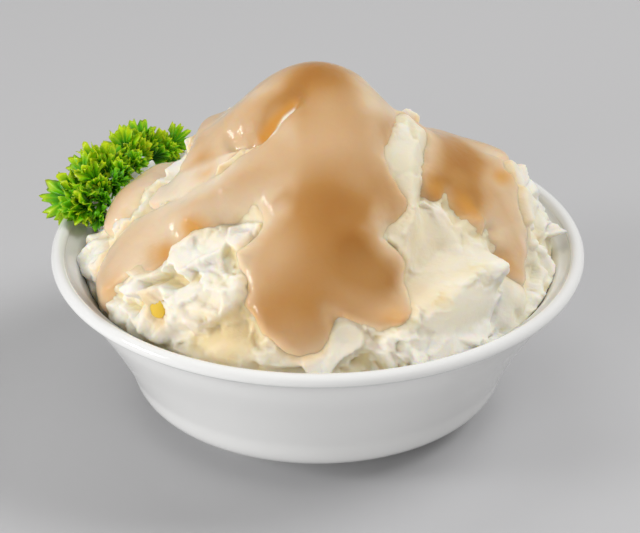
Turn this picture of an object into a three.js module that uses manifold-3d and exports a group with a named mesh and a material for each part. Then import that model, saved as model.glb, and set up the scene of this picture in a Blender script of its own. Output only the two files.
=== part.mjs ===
// Mashed potato side: a heap of mash in a flared white bowl, with gravy poured over its top,
// a bit of butter melting into it and a sprig of curly parsley on the left of the rim.
// Millimetres, +Z up. The origin is the middle of the bowl's foot, on the table. The front is -Y.
import * as THREE from 'three';
import * as BufferGeometryUtils from 'three/addons/utils/BufferGeometryUtils.js';
import Module from 'manifold-3d';

const wasm = await Module();
wasm.setup();

// ---- driving dimensions ----
const RIM_DIAMETER = 160;      // over the lip
const BOWL_HEIGHT = 52;        // foot to the top of the lip
const FOOT_DIAMETER = 83;
const WALL = 3.4;              // wall thickness of the bowl
const LIP_RADIUS = 2.1;        // rounded lip
const FLOOR = 5.5;             // thickness of the bowl's floor
const BOWL_SIDES = 48, WALL_STEPS = 9;

const HEART = [0, 0, 38];      // point inside the heap that its surface is measured from
const BALL = 62;               // radius on which widths along the heap are measured
const GAP = 0.35;              // clearance between pieces of food that touch
const BOWL_GAP = 0.6;          // clearance between the food and the bowl
const MASH_DETAIL = 13;        // subdivision of the ball that the mash and gravy are moulded from
const POUR_ROUNDING = 5;       // how far in from its edge a pour reaches full thickness
const POUR_MERGE = 5;          // how softly neighbouring pours run together

// Radius of the plain heap from HEART at each elevation, in degrees.
const HEAP_PROFILE = [[-90, 75], [-20, 75], [0, 72.5], [6, 71], [12, 68], [20, 64.6], [30, 61.2], [45, 58.6], [60, 60], [75, 65], [90, 68.5]];

// Broad swellings (+) and hollows (-) of the heap: name, azimuth, elevation,
// half width round the heap, half width up it, turn, height.
const FORMS = [
  ['summit', 120, 84, 14, 14, 0, 1.5],
  ['saddle', 37, 60, 14, 10, 0, -9.5],
  ['back right shoulder', 14, 31, 24, 17, 0, 8],
  ['back right slope', 36, 38, 14, 10, 0, -5],
  ['left fall', 150, 62, 14, 12, 0, -2.5],
  ['flap bulge', -165, 66, 9, 8, 0, 1.5],
  ['smear', -157, 46, 13, 7, 0, 1.5],
  ['hollow under the arm', -121, 42, 8, 5.5, 0, -5.5],
  ['pour belly', -88, 40, 14, 12, 0, 2.5],
  ['front hollow', -84, 17, 6, 4.5, 0, -1.2],
  ['slab', -50, 16, 12, 6, 0, 2],
  ['right lump', -31, 13, 6, 7, 0, 3],
  ['right edge', 5, 15, 12, 9, 0, 2.5],
  ['left knob', 177, 9, 5, 5, 0, 3],
  ['sprig seat', 160, 6, 10, 8, 0, -4],
  ['terrace', -140, 19, 11, 6, 0, 2],
  ['lump by the pour', -116, 24, 5, 6, 0, 3],
  ['low slab', -113, 11, 8, 4, 0, 1.5],
  ['butter hollow', -133.4, 15.8, 4, 4.8, 0, -3],
  ['flap shoulder', 168, 56, 8, 5, 0, 1.5],
  ['left back slope', 170, 42, 13, 8, 0, -6.5],
  ['left back foot', 142, 28, 15, 10, 0, -7.5],
  ['patch shoulder', 178, 27, 7, 6, 0, 1.5],
  ['front gutter', -85, 8, 19, 7, 0, -4.1],
  ['back gutter', 95, 9, 11, 6, 0, -2.2],
  ['right gutter', -41, 7, 9, 6, 0, -3.9],
  ['left gutter', -163, 5, 14, 6, 0, -4.5],
  ['spur top', -2, 65, 6.5, 3.6, 0, 2.3],
  ['summit right', 14, 71, 11, 6, 0, -1.8],
  ['patch back', 18, 43, 14, 11, 0, -1.7],
  ['right back low', 9, 25, 8, 7, 0, -2],
];

// Ridges (+) and furrows (-): name, height, half width on the left of the path and on its right,
// then the path as azimuth and elevation.
const RIDGES = [
  ['spur', 3.2, 4, 4, [[-10, 60], [-16, 61], [-34, 58], [-46, 48], [-52, 42]]],
  ['scrape', -3.5, 9, 9, [[-42, 44], [-47, 34], [-60, 26]]],
  ['lip valley', -3, 4, 4, [[-66, 24], [-57, 27], [-49, 29.5], [-43, 31]]],
  ['scrape lip', 6.5, 3, 7, [[-67, 18.5], [-60, 20], [-53, 21.8], [-44, 23.5], [-36, 23]]],
  ['finger', 3, 3.4, 3.4, [[-36, 24], [-32, 28], [-29, 33]]],
  ['wall', 3, 6, 2.5, [[2, 36], [-6, 31], [-9, 26], [-12, 21], [-14, 16]]],
  ['crease', -4.5, 2.4, 2.4, [[-28, 22], [-31, 18], [-36, 13], [-41, 7]]],
  ['slit', -4, 1.8, 5, [[-122, 78.5], [-131, 72], [-135, 67], [-150, 62]]],
  ['arm', 1.5, 6, 6, [[-122, 59], [-138, 47], [-150, 33], [-156, 21], [-158, 12]]],
  ['left shelf', 3, 4, 6, [[-152, 13], [-142, 19], [-133, 24], [-126, 25]]],
  ['middle shelf', 3, 4, 6, [[-134, 17], [-122, 19], [-113, 18]]],
  ['low crease', -3, 3, 3, [[-127, 11], [-118, 15], [-110, 17]]],
  ['curl', 3, 3.2, 3.2, [[-138, 38], [-128, 38], [-116, 35]]],
  ['white edge', 2, 3, 2.5, [[174, 42], [-178, 37], [-170, 34], [-165.5, 30], [-166, 24]]],
];

// Strokes of the pour: name, azimuth, elevation and half width along the flow.
const POURS = [
  ['summit', [[100, 84, 15], [-80, 84, 13]]],
  ['main pour', [[-75, 80, 14], [-78, 67, 16], [-80, 56, 17.5], [-89, 43, 15.5]]],
  ['left lobe', [[-97, 34, 16.5], [-98, 25, 11.5], [-94, 17.5, 8]]],
  ['cavity corner', [[-104, 53, 7], [-109, 50, 4.5]]],
  ['right lobe', [[-85, 37, 14], [-74, 29, 13]]],
  ['left arm', [[-112, 62, 10], [-133, 49.5, 8], [-144, 39, 8.5], [-153, 29, 9.8], [-157.5, 20, 9.3], [-157, 10, 7.5]]],
  ['arm drip', [[-149, 31, 6], [-144, 26.5, 4.5]]],
  ['flap', [[-141, 79, 8], [-164, 67, 10.5], [-170, 57, 8.5], [-168, 50, 5]]],
  ['flap drip', [[-162, 58, 6], [-156, 52, 3.5]]],
  ['back of the flap', [[155, 76, 9], [166, 62, 9], [175, 52, 6]]],
  ['left back fall', [[100, 62, 8], [115, 45, 8], [130, 33, 7], [145, 26, 6], [160, 28, 6], [170, 32, 8], [177, 27, 8.5], [-179, 22.5, 6]]],
  ['back fall', [[60, 75, 12], [80, 50, 10], [75, 33, 7]]],
  ['right back patch', [[50, 72, 9], [33, 63, 9.5], [12, 53, 11.5], [-6, 45, 11], [-17, 39, 8]]],
  ['patch corner', [[-12, 48, 9], [-27, 49, 6]]],
  ['patch back', [[22, 50, 8], [18, 41, 7.5], [13, 35, 5]]],
  ['patch lobe', [[-19, 38, 8], [-27, 33.5, 4.5]]],
  ['right leg', [[-13, 34, 7.5], [-17, 26, 5.4], [-21, 21, 5.8], [-25.5, 17.5, 4.6]]],
  ['right bulge', [[-64, 54, 8], [-57, 49, 6]]],
  ['right shoulder', [[-60, 73, 6], [-38, 70.5, 5], [-12, 72.5, 5], [18, 72, 5.5]]],
];

// Where two pours part and the mash shows between them: name, azimuth, elevation and half width.
const PARTINGS = [
  ['white edge', [[168, 46, 6], [176, 42, 5], [-178, 37, 3], [-170, 34, 2], [-165.5, 30, 1.6], [-166, 24, 1.5], [-168, 19, 2]]],
];

// Places that the spoon left smooth: name, azimuth, elevation, radius round the heap and up it.
const SMOOTH = [
  ['scrape', -48, 34, 13, 12],
  ['scrape low', -62, 25, 9, 6],
  ['smear', -157, 46, 13, 8],
  ['front', -82, 16, 6, 5],
  ['low slab', -112, 11, 8, 4],
  ['slab', -50, 16, 14, 6],
  ['spur', -36, 60, 10, 9],
  ['spur end', -8, 60, 9, 6],
  ['spur back', 4, 66, 9, 6],
  ['low spur', -46, 52, 7, 6],
  ['right lump', -31, 13, 5, 6],
];

// Where the spoon drew the gravy out to a film: name, then azimuth, elevation and half width along it.
const FILMS = [
  ['film', [[-149, 61, 3], [-155, 53, 7], [-160, 45, 8], [-167, 38, 5]]],
];
const FILM_THICKNESS = 0.8, FILM_ROUNDING = 4;
// The arm's upper side is wiped thinner: centre of that place, half width round the heap and up it, share taken off.
const WIPED = { azimuth: -152, elevation: 49, round: 14, up: 11, share: 0.7 };

// ---- helpers on the ball ----
const rad = THREE.MathUtils.degToRad;
const clamp = THREE.MathUtils.clamp;
const V = (x, y, z) => new THREE.Vector3(x, y, z);
const direction = (az, el) => V(Math.cos(rad(el)) * Math.cos(rad(az)), Math.cos(rad(el)) * Math.sin(rad(az)), Math.sin(rad(el)));
const smoothstep = (a, b, x) => { const u = clamp((x - a) / (b - a), 0, 1); return u * u * (3 - 2 * u); };

// A repeatable random number in 0..1 for each cell of a 3-D lattice.
function hash(i, j, k, seed) {
  const h = Math.sin(i * 127.1 + j * 311.7 + k * 74.7 + seed * 53.3) * 43758.5453;
  return h - Math.floor(h);
}

// Smooth noise in -1..1: random numbers at the lattice corners, blended between them.
function noise(x, y, z, seed) {
  const i = Math.floor(x), j = Math.floor(y), k = Math.floor(z);
  const ease = t => t * t * t * (t * (t * 6 - 15) + 10);
  const u = ease(x - i), v = ease(y - j), w = ease(z - k);
  let sum = 0;
  for (const a of [0, 1]) for (const b of [0, 1]) for (const c of [0, 1])
    sum += (a ? u : 1 - u) * (b ? v : 1 - v) * (c ? w : 1 - w) * hash(i + a, j + b, k + c, seed);
  return 2 * sum - 1;
}

// Torn slabs: each scattered seed point carries a plane with its own height and tilt, and a place takes the
// plane of the nearest seed. Where two are about as near, they blend over a width of 1 / sharp.
function slabs(x, y, z, seed, sharp) {
  const i = Math.floor(x), j = Math.floor(y), k = Math.floor(z);
  let total = 0, weights = 0;
  for (const a of [-1, 0, 1]) for (const b of [-1, 0, 1]) for (const c of [-1, 0, 1]) {
    const random = m => hash(i + a, j + b, k + c, seed + m);
    const gap = [x - i - a - random(0), y - j - b - random(7), z - k - c - random(14)];
    const tilt = gap[0] * (random(30) - 0.5) + gap[1] * (random(37) - 0.5) + gap[2] * (random(44) - 0.5);
    const weight = Math.exp(-sharp * (gap[0] ** 2 + gap[1] ** 2 + gap[2] ** 2));
    total += weight * (random(60) - 0.5 + 1.2 * tilt);
    weights += weight;
  }
  return total / weights;
}

// Height of one swelling at a direction: a bell over an ellipse laid on the ball.
function swelling(d, az, el, round, up, turn, height) {
  const centre = direction(az, el);
  const east = V(-Math.sin(rad(az)), Math.cos(rad(az)), 0);
  const north = V().crossVectors(centre, east);
  const angle = Math.acos(clamp(d.dot(centre), -1, 1));
  const sine = Math.max(Math.sin(angle), 1e-9);
  const s = BALL * angle * d.dot(east) / sine, t = BALL * angle * d.dot(north) / sine;
  const c = Math.cos(rad(turn)), q = Math.sin(rad(turn));
  return height * Math.exp(-(((s * c + t * q) / round) ** 2) - (((t * c - s * q) / up) ** 2));
}

// Nearest point of a path on the ball: the distance less the path's half width there, and which side it is on.
function fromPath(d, path) {
  let best = { distance: 1e9, side: 0 };
  for (let i = 0; i + 1 < path.length; i++) {
    const a = direction(path[i][0], path[i][1]), b = direction(path[i + 1][0], path[i + 1][1]);
    const ab = b.clone().sub(a);
    const t = clamp(d.clone().sub(a).dot(ab) / ab.lengthSq(), 0, 1);
    const q = a.clone().addScaledVector(ab, t).normalize();
    const arc = BALL * Math.acos(clamp(d.dot(q), -1, 1));
    const width = path[i].length > 2 ? path[i][2] * (1 - t) + path[i + 1][2] * t : 0;
    if (arc - width < best.distance) {
      const across = BALL * d.dot(V().crossVectors(a, b).normalize());
      best = { distance: arc - width, side: clamp(across / Math.max(arc, 1e-6), -1, 1) };
    }
  }
  return best;
}

// ---- the heap ----
// Smooth curve through HEAP_PROFILE, with a Hermite span between neighbouring elevations.
function plainRadius(d) {
  const el = THREE.MathUtils.radToDeg(Math.asin(clamp(d.z, -1, 1)));
  const P = HEAP_PROFILE, n = P.length;
  let i = 0;
  while (i < n - 2 && el > P[i + 1][0]) i++;
  const slope = k => {
    if (k === 0) return (P[1][1] - P[0][1]) / (P[1][0] - P[0][0]);
    if (k === n - 1) return (P[k][1] - P[k - 1][1]) / (P[k][0] - P[k - 1][0]);
    const h0 = P[k][0] - P[k - 1][0], h1 = P[k + 1][0] - P[k][0];
    const s0 = (P[k][1] - P[k - 1][1]) / h0, s1 = (P[k + 1][1] - P[k][1]) / h1;
    return (h1 * s0 + h0 * s1) / (h0 + h1);
  };
  const h = P[i + 1][0] - P[i][0], u = clamp((el - P[i][0]) / h, 0, 1);
  return (2 * u ** 3 - 3 * u ** 2 + 1) * P[i][1] + (u ** 3 - 2 * u ** 2 + u) * h * slope(i)
    + (3 * u ** 2 - 2 * u ** 3) * P[i + 1][1] + (u ** 3 - u ** 2) * h * slope(i + 1);
}

function smoothRadius(d) {
  let r = plainRadius(d);
  for (const [, az, el, round, up, turn, height] of FORMS) r += swelling(d, az, el, round, up, turn, height);
  for (const [, height, left, right, path] of RIDGES) {
    const { distance, side } = fromPath(d, path);
    r += height * Math.exp(-(Math.abs(distance / ((left + right) / 2 + (left - right) / 2 * side)) ** 1.5));
  }
  return r;
}

// Distance outside the gravy's edge, negative inside: the strokes run together, and the edge wavers.
function outsidePour(d, strokes) {
  let out = 1e9;
  for (const [, path] of strokes) {
    const s = fromPath(d, path).distance;
    const h = clamp(0.5 + 0.5 * (out - s) / POUR_MERGE, 0, 1);
    out = out > 1e8 ? s : out * (1 - h) + s * h - POUR_MERGE * h * (1 - h);
  }
  const p = d.clone().multiplyScalar(BALL);
  out += noise(p.x / 9 + 3.1, p.y / 9 + 3.1, p.z / 9 + 3.1, 5) + 0.5 * noise(p.x / 4, p.y / 4, p.z / 4, 6);
  for (const [, path] of PARTINGS) out = Math.max(out, -fromPath(d, path).distance);
  return out;
}

// Height of the gravy over the smooth heap: a rounded bead at its edge, then an even, slightly rolling coat, and the film beside it.
function gravyHeight(d) {
  const coat = (outside, rounding, full) => outside >= 0 ? -1.3 * outside : full * Math.sqrt(1 - (1 - Math.min(-outside / rounding, 1)) ** 2);
  const from = name => fromPath(d, POURS.find(([stroke]) => stroke === name)[1]).distance;
  const wiped = smoothstep(-11, -1, from('left arm')) * smoothstep(-1, 4, from('flap'))
    * clamp(1.6 * swelling(d, WIPED.azimuth, WIPED.elevation, WIPED.round, WIPED.up, 0, 1), 0, 1);
  const full = (2.3 + 0.7 * noise(d.x * BALL / 15, d.y * BALL / 15, d.z * BALL / 15, 9)) * (1 - WIPED.share * wiped);
  return Math.max(coat(outsidePour(d, POURS), POUR_ROUNDING, full), coat(outsidePour(d, FILMS), FILM_ROUNDING, FILM_THICKNESS));
}

// What the fork and spoon left: two sizes of torn slab that lie flatter than they are wide, on a warped lattice.
function crags(d, r) {
  const p = d.clone().multiplyScalar(r);
  const warp = V(...[11, 12, 13].map(seed => noise(p.x / 8, p.y / 8, p.z / 8, seed)));
  const q = p.clone().addScaledVector(warp, 2);
  q.z *= 1.5;
  const g = q.clone().add(warp).divideScalar(7);
  q.divideScalar(14);
  return 4.8 * slabs(q.x, q.y, q.z, 21, 18) + 2.3 * slabs(g.x, g.y, g.z, 22, 14);
}

function roughness(d) {
  let smooth = 0;
  for (const [, az, el, round, up] of SMOOTH) smooth = Math.max(smooth, clamp(1.3 * swelling(d, az, el, round, up, 0, 1), 0, 1));
  return 1 - smooth;
}

function mashRadius(d) {
  const r = smoothRadius(d), under = smoothstep(1.5, -2, Math.min(outsidePour(d, POURS), outsidePour(d, FILMS)));
  return r + crags(d, r) * roughness(d) * (1 - under) - 0.4 * under;
}

// ---- the bowl ----
// Outer wall, from the foot's edge round the heel and up to the lip, as radius and height.
const RIM = RIM_DIAMETER / 2;
const outerWall = new THREE.SplineCurve([
  [FOOT_DIAMETER / 2, 0], [RIM * 0.571, BOWL_HEIGHT * 0.06], [RIM * 0.681, BOWL_HEIGHT * 0.16], [RIM * 0.726, BOWL_HEIGHT * 0.32],
  [RIM * 0.796, BOWL_HEIGHT * 0.52], [RIM * 0.876, BOWL_HEIGHT * 0.72], [RIM * 0.932, BOWL_HEIGHT * 0.87], [RIM * 0.991, BOWL_HEIGHT * 0.93],
].map(([r, z]) => new THREE.Vector2(r, z)));

function bowlProfile() {
  const outer = outerWall.getPoints(WALL_STEPS);
  const lip = new THREE.Vector2(RIM - LIP_RADIUS, BOWL_HEIGHT - LIP_RADIUS);
  const bead = [];
  for (let a = -30; a <= 190; a += 220 / 6) bead.push(new THREE.Vector2(lip.x + LIP_RADIUS * Math.cos(rad(a)), lip.y + LIP_RADIUS * Math.sin(rad(a))));
  const inner = [];
  for (let i = WALL_STEPS - 1; i >= 2; i--) {
    const along = outer[i + 1].clone().sub(outer[i - 1]).normalize();
    const p = new THREE.Vector2(outer[i].x - along.y * WALL, outer[i].y + along.x * WALL);
    if (p.y > FLOOR + 2 && p.y < bead[bead.length - 1].y - 1) inner.push(p);
  }
  const last = inner[inner.length - 1];
  inner.push(new THREE.Vector2(last.x - 4, FLOOR + 0.8), new THREE.Vector2(last.x - 9, FLOOR), new THREE.Vector2(0, FLOOR));
  return { outline: [new THREE.Vector2(0, 0), ...outer.slice(0, WALL_STEPS), ...bead, ...inner], inside: [bead[bead.length - 1], ...inner] };
}
const { outline, inside } = bowlProfile();

// How far the inside of the bowl is from HEART at a direction, less the clearance; without end above the lip.
function cavityRadius(d) {
  const flat = Math.hypot(d.x, d.y);
  for (let i = 0; i + 1 < inside.length; i++) {
    const a = inside[i], b = inside[i + 1];
    // HEART + t (flat, d.z) = a + s (b - a), in radius and height
    const det = flat * (a.y - b.y) - d.z * (a.x - b.x);
    if (Math.abs(det) < 1e-9) continue;
    const t = (a.x * (a.y - b.y) - (a.y - HEART[2]) * (a.x - b.x)) / det;
    const s = (flat * (a.y - HEART[2]) - d.z * a.x) / det;
    if (t > 0 && s >= -1e-6 && s <= 1 + 1e-6) {
      const wall = b.clone().sub(a).normalize();
      return t - BOWL_GAP / Math.max(Math.abs(wall.x * d.z - wall.y * flat), 0.35);
    }
  }
  return Infinity;
}

// ---- closed bodies ----
// A ball of even triangles whose upper part is stretched over most of them, as the lower part is hidden in the bowl.
function mould(detail, radius) {
  const ball = new THREE.IcosahedronGeometry(1, detail);
  ball.deleteAttribute('normal');
  ball.deleteAttribute('uv');
  const g = BufferGeometryUtils.mergeVertices(ball, 1e-5);
  const p = g.getAttribute('position'), shown = 0.78, cap = (1 - Math.sin(rad(3))) / 2;
  for (let i = 0; i < p.count; i++) {
    const v = V().fromBufferAttribute(p, i).normalize();
    const share = (1 - v.z) / 2;
    const z = 1 - 2 * (share < shown ? share * cap / shown : cap + (share - shown) * (1 - cap) / (1 - shown));
    const az = Math.atan2(v.y, v.x), flat = Math.sqrt(Math.max(1 - z * z, 0));
    const d = V(flat * Math.cos(az), flat * Math.sin(az), z);
    d.multiplyScalar(radius(d));
    p.setXYZ(i, HEART[0] + d.x, HEART[1] + d.y, HEART[2] + d.z);
  }
  return g;
}

function toSolid(geometry) {
  let g = geometry.clone();
  for (const name of Object.keys(g.attributes)) if (name !== 'position') g.deleteAttribute(name);
  g = BufferGeometryUtils.mergeVertices(g, 1e-4);
  return new wasm.Manifold(new wasm.Mesh({ numProp: 3, vertProperties: new Float32Array(g.attributes.position.array), triVerts: new Uint32Array(g.index.array) }));
}

function toGeometry(solid) {
  const mesh = solid.getMesh();
  const g = new THREE.BufferGeometry();
  g.setAttribute('position', new THREE.BufferAttribute(new Float32Array(mesh.vertProperties), 3));
  g.setIndex(new THREE.BufferAttribute(new Uint32Array(mesh.triVerts), 1));
  return g;
}

const keepLarge = (solid, least) => solid.simplify(0.05).decompose().filter(part => part.volume() > least);

// ---- parsley ----
// Leaflets: name, foot of the leaflet, its tip, the way its face looks, fan half angle, frills.
const LEAFLETS = [
  ['left', [-67, 23, 55.5], [-86, 21, 57], [0.1, -0.35, 0.93], 50, 5],
  ['left low', [-67, 20, 55], [-80, 13, 55.5], [-0.2, -0.5, 0.84], 42, 4],
  ['bottom', [-66, 19, 54.5], [-67, 11, 50.5], [-0.5, -0.8, 0.3], 40, 3],
  ['upper left', [-66, 27, 56.5], [-77, 33, 64.5], [0.3, -0.75, 0.6], 40, 4],
  ['upper left back', [-64, 30, 57], [-72, 38, 67.5], [0.2, -0.85, 0.5], 40, 4],
  ['inner left', [-65, 25, 56], [-70, 22, 63], [-0.2, -0.85, 0.5], 46, 3],
  ['centre', [-62, 32, 57], [-64, 38.6, 67.3], [-0.2, -0.9, 0.4], 46, 4],
  ['centre front', [-61, 33, 57], [-59, 28, 64], [0.2, -0.8, 0.55], 44, 3],
  ['top left', [-58, 39, 57.5], [-61, 46, 67.5], [-0.3, -0.9, 0.4], 44, 4],
  ['top', [-56, 42, 58], [-56, 49, 69.5], [0, -0.93, 0.36], 48, 5],
  ['top right', [-54, 45, 58], [-50, 50, 67], [0.3, -0.85, 0.45], 44, 4],
  ['tuft', [-50, 47.5, 58.5], [-41, 53, 62.5], [-0.1, -0.85, 0.5], 56, 5],
];
const STEM = [[-67, 14, 54.5], [-66, 22, 54.8], [-62, 33, 55.6], [-56, 42, 56.5], [-49, 48, 58.5]];
const STEM_RADIUS = 0.9;
const LEAF_THICKNESS = 0.6;
const LEAF_RINGS = 3, LEAF_SPOKES = 10;

// One leaflet: a fan of two faces, triangulated alike, frilled more and more towards its toothed edge.
function leaflet(foot, tip, face, halfAngle, frills, phase) {
  const base = V(...foot), axis = V(...tip).sub(base), length = axis.length();
  axis.normalize();
  base.sub(axis);
  const up = V(...face).addScaledVector(axis, -V(...face).dot(axis)).normalize();
  const across = V().crossVectors(up, axis);
  const position = [], index = [];
  for (const layer of [1, -1]) for (let i = 0; i <= LEAF_RINGS; i++) for (let j = 0; j <= LEAF_SPOKES; j++) {
    const s = 0.06 + 0.94 * i / LEAF_RINGS, v = 2 * j / LEAF_SPOKES - 1;
    const angle = rad(halfAngle) * v * (0.55 + 0.45 * s);
    const teeth = 1 + 0.13 * s * Math.cos(Math.PI * frills * v + phase) - 0.22 * s * v * v;
    const frill = 0.17 * length * s * s * Math.sin(Math.PI * frills * v * 1.3 + 2 * phase) + 0.12 * length * s * s;
    const reach = length * s * teeth;
    position.push(...base.clone().addScaledVector(axis, reach * Math.cos(angle)).addScaledVector(across, reach * Math.sin(angle))
      .addScaledVector(up, frill + layer * LEAF_THICKNESS / 2).toArray());
  }
  const row = LEAF_SPOKES + 1, sheet = row * (LEAF_RINGS + 1);
  const quad = (a, b, c, d) => index.push(a, b, c, a, c, d);
  for (let i = 0; i < LEAF_RINGS; i++) for (let j = 0; j < LEAF_SPOKES; j++) {
    const a = i * row + j, b = a + row, c = b + 1, d = a + 1;
    index.push(a, b, c, a, c, d);
    index.push(sheet + a, sheet + c, sheet + b, sheet + a, sheet + d, sheet + c);
  }
  const edge = [];
  for (let j = 0; j <= LEAF_SPOKES; j++) edge.push(j);
  for (let i = 1; i <= LEAF_RINGS; i++) edge.push(i * row + LEAF_SPOKES);
  for (let j = LEAF_SPOKES - 1; j >= 0; j--) edge.push(LEAF_RINGS * row + j);
  for (let i = LEAF_RINGS - 1; i >= 1; i--) edge.push(i * row);
  edge.forEach((a, k) => { const b = edge[(k + 1) % edge.length]; quad(a, b, sheet + b, sheet + a); });
  const g = new THREE.BufferGeometry();
  g.setAttribute('position', new THREE.BufferAttribute(new Float32Array(position), 3));
  g.setIndex(index);
  return g;
}

function stem() {
  const section = new THREE.Shape().absarc(0, 0, STEM_RADIUS, 0, 2 * Math.PI);
  return new THREE.ExtrudeGeometry(section, { extrudePath: new THREE.CatmullRomCurve3(STEM.map(p => V(...p))), steps: 9, curveSegments: 3, bevelEnabled: false });
}

// ---- the model ----
const food = new THREE.Group();
food.name = 'mashed_potato_side';
const add = (name, geometry, color, roughnessValue) => {
  const mesh = new THREE.Mesh(geometry, new THREE.MeshStandardMaterial({ color, roughness: roughnessValue, metalness: 0 }));
  mesh.name = name;
  food.add(mesh);
  return mesh;
};

const bowl = add('bowl', new THREE.LatheGeometry(outline, BOWL_SIDES), 0xf2f2f0, 0.18);
bowl.rotation.x = Math.PI / 2;

const mashGeometry = mould(MASH_DETAIL, d => Math.min(mashRadius(d), cavityRadius(d)));
add('mash', mashGeometry, 0xf6f0da, 0.6);
const grownMash = toSolid(mould(MASH_DETAIL, d => Math.min(mashRadius(d) + GAP, cavityRadius(d))));

// The pour is all that its top surface holds above the grown mash.
const pour = toSolid(mould(MASH_DETAIL, d => Math.min(smoothRadius(d) + Math.max(gravyHeight(d), -12), cavityRadius(d) - 1)));
const gravyParts = keepLarge(pour.subtract(grownMash), 150);
add('gravy', toGeometry(wasm.Manifold.union(gravyParts)), 0xc08d55, 0.25);

// Butter: a flattened knob, cut where it sits in the mash.
const BUTTER = { azimuth: -133.4, elevation: 15.8, radii: [3.0, 3.6, 4.2] };
const knob = new THREE.IcosahedronGeometry(1, 1);
knob.scale(...BUTTER.radii);
const seat = direction(BUTTER.azimuth, BUTTER.elevation);
const place = seat.clone().multiplyScalar(mashRadius(seat) + 0.6);
knob.translate(HEART[0] + place.x, HEART[1] + place.y, HEART[2] + place.z);
add('butter', toGeometry(wasm.Manifold.union(keepLarge(toSolid(knob).subtract(grownMash), 3))), 0xf0cf45, 0.3);

// Parsley: the leaflets and the stem fused into one sprig.
const sprig = wasm.Manifold.union([toSolid(stem()), ...LEAFLETS.map(([, foot, tip, face, half, frills], k) => toSolid(leaflet(foot, tip, face, half, frills, 0.7 * k)))]);
add('parsley', toGeometry(wasm.Manifold.union(keepLarge(sprig.subtract(grownMash), 20))), 0x5c9a1e, 0.5);

export default food;
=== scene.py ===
import bpy
import numpy as np
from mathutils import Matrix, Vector


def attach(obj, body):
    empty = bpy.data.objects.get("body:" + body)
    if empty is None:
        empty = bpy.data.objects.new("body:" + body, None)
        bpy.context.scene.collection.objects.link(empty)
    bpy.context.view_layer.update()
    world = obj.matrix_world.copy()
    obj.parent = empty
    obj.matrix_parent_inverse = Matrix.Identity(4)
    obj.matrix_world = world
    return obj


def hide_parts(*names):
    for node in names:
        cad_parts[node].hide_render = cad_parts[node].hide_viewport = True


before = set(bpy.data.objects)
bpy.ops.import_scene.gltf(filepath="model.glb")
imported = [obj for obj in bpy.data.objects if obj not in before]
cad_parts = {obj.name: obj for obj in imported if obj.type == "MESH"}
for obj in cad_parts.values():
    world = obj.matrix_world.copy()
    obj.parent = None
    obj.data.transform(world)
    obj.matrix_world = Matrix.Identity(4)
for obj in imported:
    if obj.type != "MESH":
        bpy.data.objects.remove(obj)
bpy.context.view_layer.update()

# ---------------------------------------------------------------- studio
# A long lens looks down on the dish from the front. The floor is a plain pale sheet, and the light
# is a soft window at the left, the only lamp that glints, with three big fills and a pale room.
LENS, SENSOR, FAR = 187.3, 36, 20
CAMERA_PLACE, CAMERA_AIM = (0, -0.8819, 0.5235), (0.00069, -0.00334, 0.0458)
# place, what it faces, width in metres, power, and whether it shows in gloss
LAMPS = {
    "window": ((-1.05, -0.3, 0.45), (0, 0, 0.06), 0.32, 4.7, True),
    "front_fill": ((-0.75, -1.0, 0.26), (0, 0, 0.05), 0.6, 6.4, False),
    "high_right": ((0.8, 0.1, 0.95), (0, 0, 0.05), 0.6, 8.5, False),
    "high_back": ((-0.2, 0.45, 1.15), (0, 0, 0.05), 0.7, 2.2, False),
}
ROOM_COLOUR, ROOM_STRENGTH = (1.0, 0.985, 0.96, 1), 0.36
FLOOR_REACH = 4


def aimed(place, aim):
    """The turn of a camera or lamp at place that faces aim, with its own up kept upwards."""
    return (Vector(aim) - Vector(place)).to_track_quat("-Z", "Y").to_euler()


def new_material(name, sockets):
    """A new material. What is the same all over is set on the sockets of its shader."""
    material = bpy.data.materials.new(name)
    material.use_nodes = True
    shader = material.node_tree.nodes["Principled BSDF"]
    for socket, value in sockets.items():
        shader.inputs[socket].default_value = value
    return material, material.node_tree, shader


camera_data = bpy.data.cameras.new("camera")
camera_data.lens = LENS
camera_data.sensor_width = SENSOR
camera_data.clip_end = FAR
camera = bpy.data.objects.new("camera", camera_data)
camera.location = CAMERA_PLACE
camera.rotation_euler = aimed(CAMERA_PLACE, CAMERA_AIM)
bpy.context.scene.collection.objects.link(camera)
bpy.context.scene.camera = camera

for name, (place, aim, width, power, glints) in LAMPS.items():
    data = bpy.data.lights.new(name, "AREA")
    data.shape = "SQUARE"
    data.size = width
    data.energy = power
    lamp = bpy.data.objects.new(name, data)
    lamp.location = place
    lamp.rotation_euler = aimed(place, aim)
    lamp.visible_glossy = glints
    bpy.context.scene.collection.objects.link(lamp)
bpy.context.scene.view_settings.view_transform = "Standard"

room = bpy.data.worlds.new("room")
room.use_nodes = True
room.node_tree.nodes["Background"].inputs["Color"].default_value = ROOM_COLOUR
room.node_tree.nodes["Background"].inputs["Strength"].default_value = ROOM_STRENGTH
bpy.context.scene.world = room

floor_data = bpy.data.meshes.new("floor")
corners = [(x * FLOOR_REACH, y * FLOOR_REACH, 0) for x, y in ((-1, -1), (1, -1), (1, 1), (-1, 1))]
floor_data.from_pydata(corners, [], [(0, 1, 2, 3)])
floor = bpy.data.objects.new("floor", floor_data)
bpy.context.scene.collection.objects.link(floor)
floor_paint, _, _ = new_material("pale_floor", {"Base Color": (0.52, 0.52, 0.53, 1), "Roughness": 0.75})
floor_data.materials.append(floor_paint)

# ---------------------------------------------------------------- bowl
# A flared side bowl of white vitreous china, spun to shape in one piece with a small rolled lip
# and a plain foot, and dipped in clear white glaze that pools a little thicker round the lip.
RIM, BOWL_HEIGHT, FOOT = 80.0, 52.0, 41.5
WALL, LIP, BOWL_FLOOR = 3.4, 2.1, 5.5
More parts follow.
